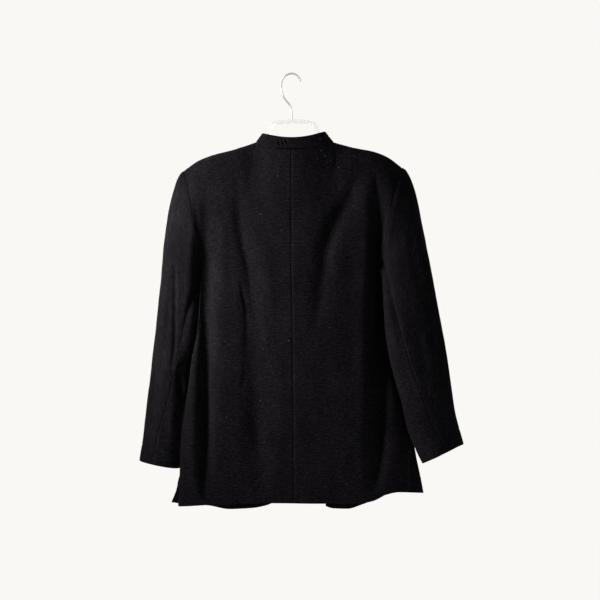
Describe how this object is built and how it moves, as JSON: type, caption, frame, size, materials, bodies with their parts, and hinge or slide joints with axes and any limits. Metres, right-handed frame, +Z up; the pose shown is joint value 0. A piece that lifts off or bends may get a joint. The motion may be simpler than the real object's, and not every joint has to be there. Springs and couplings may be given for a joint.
{
  "type": "mao jacket on a hanger",
  "caption": "Black mao jacket with a stand collar, set-in sleeves and side vents, hung with its back outwards on a clear hanger with a wire hook",
  "frame": {"origin": "the inside of the hook's top, where a nail or rail holds the hanger", "axes": "+Z up, +X to the wearer's left, +Y out of the jacket's back"},
  "size_m": [0.6956, 0.1137, 0.9431],
  "materials": {
    "cloth": "black wool crepe, fuzzy and matt, with a faint cross weave",
    "button": "dark satin button",
    "hanger_plastic": "clear, slightly milky plastic",
    "hook_steel": "bright steel wire"
  },
  "bodies": {
    "root": {"back_left": "cloth", "back_right": "cloth", "front_left": "cloth", "front_right": "cloth", "sleeve_upper_left": "cloth", "sleeve_upper_right": "cloth", "sleeve_under_left": "cloth", "sleeve_under_right": "cloth", "collar": "cloth", "button_1": "button", "button_2": "button", "button_3": "button", "button_4": "button", "button_5": "button", "hanger": "hanger_plastic", "hook": "hook_steel"}
  },
  "joints": []
}
